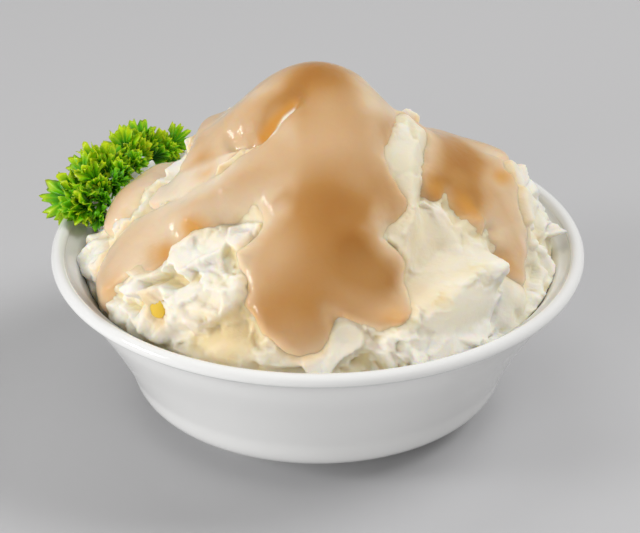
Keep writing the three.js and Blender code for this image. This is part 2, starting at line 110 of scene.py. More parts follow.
# the points that the outer wall passes through above its foot, as shares of the lip's radius and the height
WALL_SHARES = np.array([
    [0.571, 0.06], [0.681, 0.16], [0.726, 0.32], [0.796, 0.52], [0.876, 0.72], [0.932, 0.87], [0.991, 0.93]])
LIP_CENTRE = (RIM - LIP - 0.02, BOWL_HEIGHT - LIP - 0.03)
HEEL_REACH, HEEL_RISE = 7, 2
TURNING_STEP = 1.5
WALL_POINTS, LIP_POINTS, HEEL_POINTS, BOTTOM_POINTS = 64, 20, 6, 8
MILLIMETRE = 0.001


def mesh_from(name, points, faces):
    """Mesh from points in millimetres and four-cornered faces. Points that no face uses are dropped,
    and a face that names one corner twice becomes a triangle."""
    used, faces = np.unique(faces, return_inverse=True)
    faces = faces.reshape(-1, 4)
    keep = faces != np.roll(faces, -1, 1)
    real = keep.sum(1) >= 3
    corners = faces[real][keep[real]]
    sizes = keep[real].sum(1)
    starts = np.concatenate([[0], np.cumsum(sizes)[:-1]])
    mesh = bpy.data.meshes.new(name)
    mesh.vertices.add(len(used))
    mesh.vertices.foreach_set("co", (points[used] * MILLIMETRE).astype(np.float32).ravel())
    mesh.loops.add(len(corners))
    mesh.loops.foreach_set("vertex_index", corners.astype(np.int32))
    mesh.polygons.add(len(sizes))
    mesh.polygons.foreach_set("loop_start", starts.astype(np.int32))
    mesh.polygons.foreach_set("use_smooth", np.ones(len(sizes), bool))
    mesh.update(calc_edges=True)
    mesh.validate()
    return mesh, used


def grid_faces(rows, columns, around=False, first_pole=False, last_pole=False):
    """Faces of a grid of rows by columns, four neighbours to a face. around joins the last column to
    the first, and a row that is a pole is all one point."""
    ids = np.arange(rows * columns).reshape(rows, columns)
    if first_pole:
        ids[0] = ids[0, 0]
    if last_pole:
        ids[-1] = ids[-1, 0]
    if around:
        ids = np.concatenate([ids, ids[:, :1]], 1)
    return np.stack([ids[:-1, :-1], ids[1:, :-1], ids[1:, 1:], ids[:-1, 1:]], -1).reshape(-1, 4)


def place_piece(name, mesh, material, node):
    """The finished piece: on the root body, in the place of its solid, which is hidden."""
    piece = bpy.data.objects.new(name, mesh)
    bpy.context.scene.collection.objects.link(piece)
    mesh.materials.append(material)
    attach(piece, "root")
    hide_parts(node)


def wall_curve(steps):
    """Outer wall from the foot's edge to the lip: a spline through eight named radii and heights,
    where each point's slope is half the step between its two neighbours."""
    knots = np.concatenate([[[FOOT, 0]], WALL_SHARES * [RIM, BOWL_HEIGHT]])
    padded = np.concatenate([knots[:1], knots, knots[-1:]])
    t = np.linspace(0, len(knots) - 1, steps)
    i = np.minimum(t.astype(int), len(knots) - 2)
    u = (t - i)[:, None]
    before, start, end, after = (padded[i + k] for k in range(4))
    return ((2 * u**3 - 3 * u**2 + 1) * start + (u**3 - 2 * u**2 + u) * (end - before) / 2
            + (3 * u**2 - 2 * u**3) * end + (u**3 - u**2) * (after - start) / 2)


def speckle(tree, scale, detail):
    """Noise on the piece's own coordinates, as a node's output."""
    place = tree.nodes.new("ShaderNodeTexCoord")
    dots = tree.nodes.new("ShaderNodeTexNoise")
    dots.inputs["Scale"].default_value = scale
    dots.inputs["Detail"].default_value = detail
    tree.links.new(place.outputs["Object"], dots.inputs["Vector"])
    return dots.outputs["Fac"]


def dimple(tree, height, strength, distance, sockets):
    """Bumps of the given strength and distance, joined to the given sockets for the surface's direction."""
    bump = tree.nodes.new("ShaderNodeBump")
    bump.inputs["Strength"].default_value = strength
    bump.inputs["Distance"].default_value = distance
    tree.links.new(height, bump.inputs["Height"])
    for socket in sockets:
        tree.links.new(bump.outputs["Normal"], socket)


outer = wall_curve(WALL_POINTS)
angle = np.radians(np.linspace(-30, 190, LIP_POINTS))
lip_curve = np.stack([LIP_CENTRE[0] + LIP * np.cos(angle), LIP_CENTRE[1] + LIP * np.sin(angle)], -1)
along = np.gradient(outer, axis=0)
along /= np.linalg.norm(along, axis=1, keepdims=True)
inner = (outer + WALL * np.stack([-along[:, 1], along[:, 0]], -1))[::-1]
inner = inner[(inner[:, 1] > BOWL_FLOOR + HEEL_RISE) & (inner[:, 1] < lip_curve[-1, 1] - 1)]
turn = np.radians(np.linspace(15, 90, HEEL_POINTS))[:, None]
heel = np.concatenate([inner[-1:, :1] - HEEL_REACH + HEEL_REACH * np.cos(turn),
                       BOWL_FLOOR + HEEL_RISE - HEEL_RISE * np.sin(turn)], 1)
bottom = np.stack([np.linspace(0, FOOT - 1, BOTTOM_POINTS), np.zeros(BOTTOM_POINTS)], -1)
section = np.concatenate([bottom, outer[:-1], lip_curve, inner, heel, [[0, BOWL_FLOOR]]])
azimuth = np.radians(np.arange(0, 360, TURNING_STEP))
radius, height = section[:, None, 0], section[:, None, 1]
turned = np.stack([radius * np.cos(azimuth), radius * np.sin(azimuth), height + 0 * azimuth], -1)
bowl_faces = grid_faces(len(section), len(azimuth), True, True, True)
bowl_mesh, _ = mesh_from("bowl_glazed", turned[::-1].reshape(-1, 3), bowl_faces)

glaze, tree, shader = new_material("white_glaze", {
    "Base Color": (0.83, 0.83, 0.82, 1), "Roughness": 0.16, "Specular IOR Level": 0.5,
    "Coat Weight": 0.3, "Coat Roughness": 0.05})
dimple(tree, speckle(tree, 28, 2), 0.05, 0.002, [shader.inputs["Normal"]])
place_piece("bowl_glazed", bowl_mesh, glaze, "bowl")

# ---------------------------------------------------------------- mash
# Soft buttery mash, heaped with a spoon over the lip of the bowl and left craggy, with one face
# scraped smooth by the back of the spoon. It fills the bowl and is wiped clear of the lip.

# Places on the heap are named by azimuth and elevation in degrees, seen from its heart, and widths
# are measured in millimetres on a ball round that heart.
HEART = np.array([0, 0, 38.0])
BALL = 62.0
BOWL_GAP = 0.2
MASH_COLUMNS, SHOWN_ROWS, HIDDEN_ROWS = 600, 150, 14
FRONT_CROWDING = 0.3
# elevation and radius of the plain heap
HEAP_PROFILE = np.array([
    [-90, 75], [-20, 75], [0, 72.5], [6, 71], [12, 68], [20, 64.6],
    [30, 61.2], [45, 58.6], [60, 60], [75, 65], [90, 68.5]], float)
# azimuth, elevation, half width round the heap, half width up it, height
FORMS = {
    "summit": (120, 84, 14, 14, 1.5),
    "saddle": (37, 60, 14, 10, -9.5),
    "back right shoulder": (14, 31, 24, 17, 8),
    "back right slope": (36, 38, 14, 10, -5),
    "left fall": (150, 62, 14, 12, -2.5),
    "flap bulge": (-165, 66, 9, 8, 1.5),
    "smear": (-157, 46, 13, 7, 1.5),
    "hollow under the arm": (-121, 42, 8, 5.5, -5.5),
    "pour belly": (-88, 40, 14, 12, 2.5),
    "front hollow": (-84, 17, 6, 4.5, -1.2),
    "slab": (-50, 16, 12, 6, 2),
    "right lump": (-31, 13, 6, 7, 3),
    "right edge": (5, 15, 12, 9, 2.5),
    "left knob": (177, 9, 5, 5, 3),
    "sprig seat": (160, 6, 10, 8, -4),
    "terrace": (-140, 19, 11, 6, 2),
    "lump by the pour": (-116, 24, 5, 6, 3),
    "low slab": (-113, 11, 8, 4, 1.5),
    "butter hollow": (-133.4, 15.8, 4, 4.8, -3),
    "flap shoulder": (168, 56, 8, 5, 1.5),
    "left back slope": (170, 42, 13, 8, -6.5),
    "left back foot": (142, 28, 15, 10, -7.5),
    "patch shoulder": (178, 27, 7, 6, 1.5),
    "front gutter": (-85, 8, 19, 7, -4.1),
    "back gutter": (95, 9, 11, 6, -2.2),
    "right gutter": (-41, 7, 9, 6, -3.9),
    "left gutter": (-163, 5, 14, 6, -4.5),
    "spur top": (-2, 65, 6.5, 3.6, 2.3),
    "summit right": (14, 71, 11, 6, -1.8),
    "patch back": (18, 43, 14, 11, -1.7),
    "right back low": (9, 25, 8, 7, -2),
}
# height, half width on the left of the path and on its right, path of azimuth and elevation
RIDGES = {
    "spur": (3.2, 4, 4, [[-10, 60], [-16, 61], [-34, 58], [-46, 48], [-52, 42]]),
    "scrape": (-3.5, 9, 9, [[-42, 44], [-47, 34], [-60, 26]]),
    "lip valley": (-3, 4, 4, [[-66, 24], [-57, 27], [-49, 29.5], [-43, 31]]),
    "scrape lip": (6.5, 3, 7, [[-67, 18.5], [-60, 20], [-53, 21.8], [-44, 23.5], [-36, 23]]),
    "finger": (3, 3.4, 3.4, [[-36, 24], [-32, 28], [-29, 33]]),
    "wall": (3, 6, 2.5, [[2, 36], [-6, 31], [-9, 26], [-12, 21], [-14, 16]]),
    "crease": (-4.5, 2.4, 2.4, [[-28, 22], [-31, 18], [-36, 13], [-41, 7]]),
    "slit": (-4, 1.8, 5, [[-122, 78.5], [-131, 72], [-135, 67], [-150, 62]]),
    "arm": (1.5, 6, 6, [[-122, 59], [-138, 47], [-150, 33], [-156, 21], [-158, 12]]),
    "left shelf": (3, 4, 6, [[-152, 13], [-142, 19], [-133, 24], [-126, 25]]),
    "middle shelf": (3, 4, 6, [[-134, 17], [-122, 19], [-113, 18]]),
    "low crease": (-3, 3, 3, [[-127, 11], [-118, 15], [-110, 17]]),
    "curl": (3, 3.2, 3.2, [[-138, 38], [-128, 38], [-116, 35]]),
    "white edge": (2, 3, 2.5, [[174, 42], [-178, 37], [-170, 34], [-165.5, 30], [-166, 24]]),
}
# azimuth, elevation and half width along each stroke of the pour
POURS = {
    "summit": [[100, 84, 15], [-80, 84, 13]],
    "main pour": [[-75, 80, 14], [-78, 67, 16], [-80, 56, 17.5], [-89, 43, 15.5]],
    "left lobe": [[-97, 34, 16.5], [-98, 25, 11.5], [-94, 17.5, 8]],
    "cavity corner": [[-104, 53, 7], [-109, 50, 4.5]],
    "right lobe": [[-85, 37, 14], [-74, 29, 13]],
    "left arm": [[-112, 62, 10], [-133, 49.5, 8], [-144, 39, 8.5], [-153, 29, 9.8], [-157.5, 20, 9.3], [-157, 10, 7.5]],
    "arm drip": [[-149, 31, 6], [-144, 26.5, 4.5]],
    "flap": [[-141, 79, 8], [-164, 67, 10.5], [-170, 57, 8.5], [-168, 50, 5]],
    "flap drip": [[-162, 58, 6], [-156, 52, 3.5]],
    "back of the flap": [[155, 76, 9], [166, 62, 9], [175, 52, 6]],
    "left back fall": [[100, 62, 8], [115, 45, 8], [130, 33, 7], [145, 26, 6],
                       [160, 28, 6], [170, 32, 8], [177, 27, 8.5], [-179, 22.5, 6]],
    "back fall": [[60, 75, 12], [80, 50, 10], [75, 33, 7]],
    "right back patch": [[50, 72, 9], [33, 63, 9.5], [12, 53, 11.5], [-6, 45, 11], [-17, 39, 8]],
    "patch corner": [[-12, 48, 9], [-27, 49, 6]],
    "patch back": [[22, 50, 8], [18, 41, 7.5], [13, 35, 5]],
    "patch lobe": [[-19, 38, 8], [-27, 33.5, 4.5]],
    "right leg": [[-13, 34, 7.5], [-17, 26, 5.4], [-21, 21, 5.8], [-25.5, 17.5, 4.6]],
    "right bulge": [[-64, 54, 8], [-57, 49, 6]],
    "right shoulder": [[-60, 73, 6], [-38, 70.5, 5], [-12, 72.5, 5], [18, 72, 5.5]],
}
# where the spoon drew the gravy out to a film under a millimetre thick
FILM = {"film": [[-149, 61, 3], [-155, 53, 7], [-160, 45, 8], [-167, 38, 5]]}
# where two strokes part and the mash shows between them
PARTINGS = {"white edge": [[168, 46, 6], [176, 42, 5], [-178, 37, 3], [-170, 34, 2],
                           [-165.5, 30, 1.6], [-166, 24, 1.5], [-168, 19, 2]]}
MELT = 5  # how widely two strokes run together
CRUMB_LEFT = 0.12  # share of the crumb that the spoon leaves where it smooths
SUNK = 0.4  # how far the mash lies back under the gravy
EDGE_DROP, EDGE_SLOPE = 0.35, 0.9  # how far below the smooth heap it may lie at the gravy's edge, and beyond
# places that the spoon left smooth: azimuth, elevation, half width round the heap and up it
SMOOTH = {
    "scrape": (-48, 34, 13, 12),
    "scrape low": (-62, 25, 9, 6),
    "smear": (-157, 46, 13, 8),
    "front": (-82, 16, 6, 5),
    "low slab": (-112, 11, 8, 4),
    "slab": (-50, 16, 14, 6),
    "spur": (-36, 60, 10, 9),
    "spur end": (-8, 60, 9, 6),
    "spur back": (9, 65, 12, 7.5),
    "low spur": (-46, 52, 7, 6),
    "right lump": (-31, 13, 5, 6),
}
# height and width of what the fork tore: two sizes of slab, then the lumps on them
BIG_SLABS, SMALL_SLABS, LUMPS = (4.8, 14), (2.3, 7), (0.7, 4.5)
# and of the crumb: flakes, pellets and grains
FLAKES, PELLETS, GRAINS = (1.1, 3.4), (0.6, 2.8), (0.45, 1.6)
# the middle of the bit of butter, and the path that it has melted along, with its half width
BUTTER = (-133.4, 15.8)
BUTTER_PATH = [[-134.5, 17, 2.5], [-132.5, 14, 2.5]]
# places painted whiter, as painted light where the heap lies in shade at the front and at the right, or yellower where
# less than none, besides its relief
WHITENED = [(-78, 11, 12, 6, 0.9), (-22, 18, 16, 12, 0.8), (-112, 14, 14, 9, -0.6)]
SOAK_SHARE, SOAK_REACH, BUTTER_SHARE = 0.9, 1.3, 0.8  # how gravy and butter soak into the mash
# places stained by gravy, besides the border of the pour; the front and the left slabs, low by the lip of the bowl, are
# painted shade:
# azimuth, elevation, half width round the heap and up it, share
STAINS_AND_SHADE = {
    "scrape": (-50, 36, 15, 14, 0.35),
    "by the right lobe": (-60, 24, 7, 7, 0.45),
    "left slabs": (-113, 15, 14, 9, 0.5),
    "smear": (-158, 45, 12, 9, 0.3),
    "front": (-80, 15, 10, 6, 0.3),
}


def direction(az, el):
    """Unit vector at an azimuth and an elevation in degrees."""
    az, el = np.radians(az), np.radians(el)
    return np.stack([np.cos(el) * np.cos(az), np.cos(el) * np.sin(az), np.sin(el)], -1)


def smoothstep(a, b, x):
    """0 before a, 1 after b, and the cubic 3u^2 - 2u^3 between them."""
    u = np.clip((x - a) / (b - a), 0, 1)
    return u * u * (3 - 2 * u)


def chance(i, j, k, seed):
    """A repeatable number in 0..1 for each cell of a lattice: the fraction of a large sine."""
    h = np.sin(i * 127.1 + j * 311.7 + k * 74.7 + seed * 53.3) * 43758.5453
    return h - np.floor(h)


def chances(n, seed):
    """Three repeatable numbers in 0..1 for each cell n of a lattice, from seeds seven apart."""
    return np.stack([chance(n[..., 0], n[..., 1], n[..., 2], seed + m * 7) for m in range(3)], -1)


def noise(p, seed):
    """Smooth noise in -1..1: chance at the eight corners of a cell, blended with a fifth-order ease."""
    q = np.floor(p)
    f = p - q
    f = f * f * f * (f * (f * 6 - 15) + 10)
    total = 0
    for corner in np.ndindex(2, 2, 2):
        x, y, z = (f[..., k] if corner[k] else 1 - f[..., k] for k in range(3))
        n = q + np.array(corner)
        total = total + x * y * z * chance(n[..., 0], n[..., 1], n[..., 2], seed)
    return total * 2 - 1


def lump_distance(p, seed):
    """Distance to the nearest of the scattered points, one in each cell of a lattice."""
    q = np.floor(p)
    best = np.full(p.shape[:-1], 9.0)
    for step in np.ndindex(3, 3, 3):
        n = q + np.array(step) - 1
        best = np.minimum(best, np.linalg.norm(n + chances(n, seed) - p, axis=-1))
    return best


def swelling(d, az, el, wide, up, height):
    """A bell over an ellipse laid on the ball: height times exp of minus the squared distance in half widths."""
    a = np.radians(az)
    centre = direction(az, el)
    east = np.array([-np.sin(a), np.cos(a), 0])
    north = np.cross(centre, east)
    w = np.clip(d @ centre, -1, 1)
    reach = BALL * np.arccos(w) / np.maximum(np.sqrt(1 - w * w), 1e-9)
    s, t = reach * (d @ east), reach * (d @ north)
    return height * np.exp(-((s / wide) ** 2) - ((t / up) ** 2))


def from_path(d, path):
    """Arc distance on the ball to a path, less its half width there, and the side of it: -1 to 1."""
    best = np.full(d.shape[:-1], 1e9)
    side = np.zeros_like(best)
    knots = [direction(p[0], p[1]) for p in path]
    for i in range(len(path) - 1):
        a, b = knots[i], knots[i + 1]
        t = np.clip(((d - a) @ (b - a)) / ((b - a) @ (b - a)), 0, 1)
        q = a + t[..., None] * (b - a)
        q /= np.linalg.norm(q, axis=-1, keepdims=True)
        arc = BALL * np.arccos(np.clip((d * q).sum(-1), -1, 1))
        normal = np.cross(a, b)
        across = BALL * (d @ (normal / np.linalg.norm(normal)))
        gap = arc - (path[i][2] * (1 - t) + path[i + 1][2] * t if len(path[i]) > 2 else 0)
        nearer = gap < best
        best = np.where(nearer, gap, best)
        side = np.where(nearer, np.clip(across / np.maximum(arc, 1e-6), -1, 1), side)
    return best, side


def plain_radius(d):
    """Plain heap: a smooth cubic curve of radius against elevation through the profile's points."""
    el = np.degrees(np.arcsin(np.clip(d[..., 2], -1, 1)))
    x, y = HEAP_PROFILE.T
    slope = np.gradient(y, x)
    i = np.clip(np.searchsorted(x, el) - 1, 0, len(x) - 2)
    h = x[i + 1] - x[i]
    u = np.clip((el - x[i]) / h, 0, 1)
    return ((2 * u**3 - 3 * u**2 + 1) * y[i] + (u**3 - 2 * u**2 + u) * h * slope[i]
            + (3 * u**2 - 2 * u**3) * y[i + 1] + (u**3 - u**2) * h * slope[i + 1])


def smooth_radius(d):
    """The heap without crags: the plain heap, its swellings and hollows, and its ridges and furrows.
    A ridge falls off as exp of minus the distance in half widths to the power one and a half."""
    r = plain_radius(d)
    for form in FORMS.values():
        r = r + swelling(d, *form)
    for height, left, right, path in RIDGES.values():
        distance, side = from_path(d, path)
        half_width = (left + right) / 2 + (left - right) / 2 * side
        r = r + height * np.exp(-np.abs(distance / half_width) ** 1.5)
    return r


def outside_pour(d, strokes):
    """Distance outside the gravy's edge in mm, negative inside: the strokes run together, and the edge wavers."""
    out = None
    for path in strokes.values():
        s, _ = from_path(d, path)
        if out is None:
            out = s
        else:
            h = np.clip(0.5 + 0.5 * (out - s) / MELT, 0, 1)
            out = out * (1 - h) + s * h - MELT * h * (1 - h)
    p = d * BALL
    out = out + noise(p / 9 + 3.1, 5) + 0.5 * noise(p / 4, 6) + 0.3 * noise(p / 2.1, 7)
    for path in PARTINGS.values():
        s, _ = from_path(d, path)
        out = np.maximum(out, -s)
    return out


def slabs(p, seed, sharp):
    """Torn slabs: each scattered point carries a plane with its own height and tilt, and a place takes the
    plane of the nearest point. Where two are about as near, they blend over a width of 1 / sharp."""
    q = np.floor(p)
    total, weights = 0, 0
    for step in np.ndindex(3, 3, 3):
        n = q + np.array(step) - 1
        gap = p - n - chances(n, seed)
        tilt = chances(n, seed + 30) - 0.5
        lift = chance(n[..., 0], n[..., 1], n[..., 2], seed + 60) - 0.5
        w = np.exp(-sharp * (gap * gap).sum(-1))
        total = total + w * (lift + 1.2 * (gap * tilt).sum(-1))
        weights = weights + w
    return total / weights


def crags(d, r):
    """What the fork and spoon left: two sizes of torn slab, lying flatter than they are wide, then rounded
    lumps and a fine crumb in patches. All lie on a lattice bent by smooth noise."""
    p = d * r[..., None]
    warp = np.stack([noise(p / 8, seed) for seed in (11, 12, 13)], -1)
    q = (p + 2.0 * warp) * np.array([1, 1, 1.5])
    coarse = (BIG_SLABS[0] * slabs(q / BIG_SLABS[1], 21, 32)
              + SMALL_SLABS[0] * slabs((q + warp) / SMALL_SLABS[1], 22, 26)
              + LUMPS[0] * (0.35 - lump_distance(p / LUMPS[1] + 0.2 * warp, 25) ** 2))
    patchy = 0.15 + smoothstep(-0.2, 0.45, noise(p / 6 + 9, 31))
    fine = patchy * (FLAKES[0] * slabs((q + 0.6 * warp) / FLAKES[1], 27, 22)
                     + PELLETS[0] * (0.4 - lump_distance((p + 1.2 * warp) / PELLETS[1], 23) ** 2)
                     + GRAINS[0] * (0.4 - lump_distance((p + 0.8 * warp) / GRAINS[1], 24) ** 2))
    return coarse, fine


def roughness(d):
    """1 on the craggy mash, down to 0 where the spoon smoothed it."""
    smooth = np.zeros(d.shape[:-1])
    for az, el, wide, up in SMOOTH.values():
        smooth = np.maximum(smooth, np.clip(1.3 * swelling(d, az, el, wide, up, 1), 0, 1))
    return 1 - smooth


def cavity_radius(d):
    """How far the inside of the bowl is from the heart of the heap, less the clearance: each direction is
    cut with the lines of the inside profile. It is endless above the lip."""
    flat = np.hypot(d[..., 0], d[..., 1])
    best = np.full(d.shape[:-1], 1e9)
    line = np.concatenate([lip_curve[-1:], inner[::2], inner[-1:], heel, [[0, BOWL_FLOOR]]])
    for a, b in zip(line[:-1], line[1:]):
        det = flat * (a[1] - b[1]) - d[..., 2] * (a[0] - b[0])
        det = np.where(np.abs(det) < 1e-9, 1e-9, det)
        t = (a[0] * (a[1] - b[1]) - (a[1] - HEART[2]) * (a[0] - b[0])) / det
        s = (flat * (a[1] - HEART[2]) - d[..., 2] * a[0]) / det
        wall = (b - a) / np.linalg.norm(b - a)
        gap = BOWL_GAP / np.maximum(np.abs(wall[0] * d[..., 2] - wall[1] * flat), 0.35)
        hit = (t > 0) & (s >= -1e-6) & (s <= 1 + 1e-6)
        best = np.where(hit, np.minimum(best, t - gap), best)
    return best


def heap_directions(columns, rows, lowest, highest):
    """Directions on a grid of rows from the highest elevation down to the lowest, and columns round the
    heap that crowd towards the front: azimuth = a - crowding * cos(a)."""
    a = np.linspace(0, 2 * np.pi, columns, endpoint=False)
    a = a - FRONT_CROWDING * np.cos(a)
    el = np.linspace(highest, lowest, rows)
    return direction(np.degrees(a)[None, :], el[:, None] + 0 * a)


def keep_values(mesh, name, values):
    """A number at each point of the mesh, for its material to read."""
    mesh.attributes.new(name, "FLOAT", "POINT").data.foreach_set("value", values.astype(np.float32))


def kept(tree, name):
    """The numbers that keep_values gave, as a node's output."""
    node = tree.nodes.new("ShaderNodeAttribute")
    node.attribute_name = name
    return node.outputs["Fac"]


def times_plus(tree, factor, value, more):
    """factor * value + more, as a node's output."""
    node = tree.nodes.new("ShaderNodeMath")
    node.operation = "MULTIPLY_ADD"
    node.inputs[1].default_value = factor
    tree.links.new(value, node.inputs[0])
    tree.links.new(more, node.inputs[2])
    return node.outputs[0]


def tinted(tree, value, stops):
    """The colour that value picks from the stops, each a position and a colour."""
    node = tree.nodes.new("ShaderNodeValToRGB")
    ends = node.color_ramp.elements
    for end, (position, colour) in zip(ends, (stops[0], stops[-1])):
        end.position = position
        end.color = (*colour, 1)
    for position, colour in stops[1:-1]:
        ends.new(position).color = (*colour, 1)
    tree.links.new(value, node.inputs["Fac"])
    return node.outputs["Color"]


def laid_over(tree, share, under, over):
    """The colour under, with the share of the colour over laid on it."""
    node = tree.nodes.new("ShaderNodeMix")
    node.data_type = "RGBA"
    tree.links.new(share, node.inputs[0])
    tree.links.new(under, node.inputs[6])
    if isinstance(over, tuple):
        node.inputs[7].default_value = (*over, 1)
    else:
        tree.links.new(over, node.inputs[7])
    return node.outputs[2]


def spread(tree, value, low, high):
    """value drawn out so that low comes to 0 and high to 1."""
    node = tree.nodes.new("ShaderNodeMapRange")
    node.inputs["From Min"].default_value = low
    node.inputs["From Max"].default_value = high
    tree.links.new(value, node.inputs["Value"])
    return node.outputs["Result"]


shown = heap_directions(MASH_COLUMNS, SHOWN_ROWS, -3, 90)
hidden = heap_directions(MASH_COLUMNS, HIDDEN_ROWS, -90, -9)
d = np.concatenate([shown, hidden])
smooth = smooth_radius(d)
outside = outside_pour(d, POURS)
under = smoothstep(1.5, -2, np.minimum(outside, outside_pour(d, FILM)))
rough = roughness(d)
coarse, fine = crags(d, smooth)
heap = smooth + (coarse * rough + fine * (CRUMB_LEFT + (1 - CRUMB_LEFT) * rough)) * (1 - under) - SUNK * under
# the gravy has filled the pits along its edge, so the mash rises to meet it there
heap = np.maximum(heap, smooth - EDGE_DROP - EDGE_SLOPE * np.maximum(outside, 0))
cavity = cavity_radius(d)
mash_radius = np.minimum(heap, cavity)
mash_points = (HEART + d * mash_radius[..., None]).reshape(-1, 3)
mash_mesh, used = mesh_from("mash_soft", mash_points, grid_faces(len(d), MASH_COLUMNS, True, True, True))

# painted shade: the mash is painted darker and yellower in its clefts and whiter on its crests, as light falls, with
# melted butter in the clefts too; it is also yellower round the butter and where it meets the wall of the bowl
butter_at, _ = from_path(d, BUTTER_PATH)
greasy = (1.6 * smoothstep(3, -1, butter_at) + smoothstep(-3, 0, heap - cavity)
          + 0.5 * smoothstep(-0.1, 0.6, noise(d * BALL / 13, 41)) + 0.25 * (1 - rough))
# painted shade in the low places of the crags, painted light on their crests
whiteness_and_shade = (coarse / 2.6 + fine / 0.8) * rough - 0.5 * greasy
# painted light: the shaded front and right of the heap are painted whiter
for place in WHITENED:
    whiteness_and_shade = whiteness_and_shade + swelling(d, *place)
keep_values(mash_mesh, "whiteness_and_shade", whiteness_and_shade.reshape(-1)[used])
soaked_and_shaded = SOAK_SHARE * np.exp(-np.maximum(outside, 0) / SOAK_REACH)
for az, el, wide, up, share in STAINS_AND_SHADE.values():
    soaked_and_shaded = np.maximum(soaked_and_shaded, swelling(d, az, el, wide, up, share))
soaked_and_shaded = np.maximum(soaked_and_shaded, BUTTER_SHARE * smoothstep(3, -1, butter_at))
keep_values(mash_mesh, "soaked_and_shaded", soaked_and_shaded.reshape(-1)[used])

potato, tree, shader = new_material("buttery_mash", {
    "Roughness": 0.4, "Specular IOR Level": 0.4, "Subsurface Weight": 1.0,
    "Subsurface Radius": (1.0, 0.75, 0.4), "Subsurface Scale": 0.0016})
# the ramp paints the clefts darker and yellower and the crests whiter, as painted shade and light
blotchy = times_plus(tree, 0.6, speckle(tree, 90, 3), kept(tree, "whiteness_and_shade"))
cream = tinted(tree, spread(tree, blotchy, -0.7, 0.7), [
    (0.0, (0.82, 0.71, 0.44)), (0.35, (0.84, 0.78, 0.60)), (1.0, (0.87, 0.84, 0.76))])
# the stain colour, laid where gravy and butter soak in, is also painted shade at the front and the left slabs
stained_and_shaded = laid_over(tree, kept(tree, "soaked_and_shaded"), cream, (0.82, 0.64, 0.38))
tree.links.new(stained_and_shaded, shader.inputs["Base Color"])
dimple(tree, speckle(tree, 900, 4), 0.3, 0.0005, [shader.inputs["Normal"]])
place_piece("mash_soft", mash_mesh, potato, "mash")

# ---------------------------------------------------------------- gravy
# Smooth light brown gravy, ladled over the top and run down in lobes with full rounded edges.
# It is a skin two to three millimetres thick that lies on the mash and shows golden where thin.
THICKNESS, UNEVENNESS = 2.3, 0.7
GRAVY_DEPTH = 4.0  # how far its hidden underside lies in the mash
DEEPEST, LEAN = 1.1, 1.3  # the most that pools add up to, and how the full edge leans
GRAVY_COLUMNS, GRAVY_ROWS = 490, 136
EDGE_WIDTH, FILM_EDGE, FILM_THICKNESS = 5, 4, 0.8
DIVE = 1.3  # how steeply the skin goes down into the mash outside its edge
# where the pour is deepest, with a pale band of painted sheen across its middle and painted shade in the deep fold at
# the slit; elsewhere it is a thin coat:
# azimuth, elevation, half width round the heap and up it, share of the full depth
THIN_COAT = 0.32
POOLS_AND_SHEEN = {
    "middle": (-80, 42, 20, 22, 0.6),
    "summit": (-90, 85, 16, 14, 0.46),
    "upper left": (-132, 77, 8, 8, 0.4),
    "left lobe": (-96, 24, 14, 12, 0.55),
    "right lobe": (-72, 30, 10, 9, 0.45),
    "right back": (-8, 46, 18, 12, 0.75),
    "left of the patch": (-30, 46, 5, 6, 0.4),
    "below the patch": (-24, 38, 7, 6, 0.4),
    "deep shaded fold": (-133, 73, 4, 6, 0.5),
    "flap drip": (-156, 54, 4, 4, 0.4),
    "painted sheen band": (-82, 66, 14, 6, -0.15),
    "below the arm": (-135, 37, 6, 5, 0.3),
    "arm drip": (-143, 27, 6, 4, 0.3),
    "arm end": (-155, 13, 6, 5, 0.2),
    "tongue": (-156, 52, 6, 4, 0.3),
    "right edge": (-24, 67, 8, 4, 0.4),
}
# places where the edge is full and dark; elsewhere it pales over several millimetres
CRISP = {
    "lobes": (-93, 22, 22, 10),
    "right side": (-54, 44, 6, 20),
    "shoulder": (-30, 66, 12, 5),
    "left of the patch": (-30, 42, 9, 13),
    "slit": (-142, 66, 13, 8),
    "leg": (-24, 19, 6, 5),
    "arm drip": (-141, 26, 8, 6),
    "below the arm": (-135, 37, 7, 6),
}
# places where light comes golden through a full edge, with the share of it
GOLDEN = {
    "below the arm": (-134.5, 36.5, 6, 4, 1.0),
    "arm drip": (-142.5, 27.5, 5, 3.5, 0.9),
    "arm end": (-151, 14, 5, 5, 0.5),
    "tongue": (-155, 52, 5, 3.5, 1.0),
    "left of the patch": (-32, 46.5, 4, 5, 0.8),
    "below the patch": (-27, 38, 5, 5, 0.8),
    "patch corner": (-5, 35.5, 3, 3, 0.8),
    "leg": (-29, 21, 4, 4, 0.7),
    "right lobe": (-70, 19, 6, 3, 0.6),
}
# the mash all but shows along the lower side of the slit, and the fold above it is painted golden brown, as shade in
# the groove with light coming through the deep gravy
BARE_LINE = [[-146, 63, 0.5], [-132, 66, 1.3], [-127, 70, 1.5], [-127, 76, 1.2], [-124, 79, 0.6]]
FOLD_LINE = [[-127, 79.5, 1.0], [-131, 75, 1.8], [-136, 69, 1.3]]


def rounded(u):
    """Height across an edge as a share of the full height: a quarter circle from 0 at u = 0 to 1 at u = 1."""
    return np.sqrt(1 - (1 - u) ** 2)


d = heap_directions(GRAVY_COLUMNS, GRAVY_ROWS, 3, 90)
smooth = smooth_radius(d)
outside, outside_film = outside_pour(d, POURS), outside_pour(d, FILM)
# the arm's upper side thins out into the film, and the flap above it keeps its rounded edge
from_arm, _ = from_path(d, POURS["left arm"])
from_flap, _ = from_path(d, POURS["flap"])
near_film = np.clip(1.6 * swelling(d, -152, 49, 14, 11, 1), 0, 1)
thinning = smoothstep(-11, -1, from_arm) * smoothstep(-1, 4, from_flap) * near_film
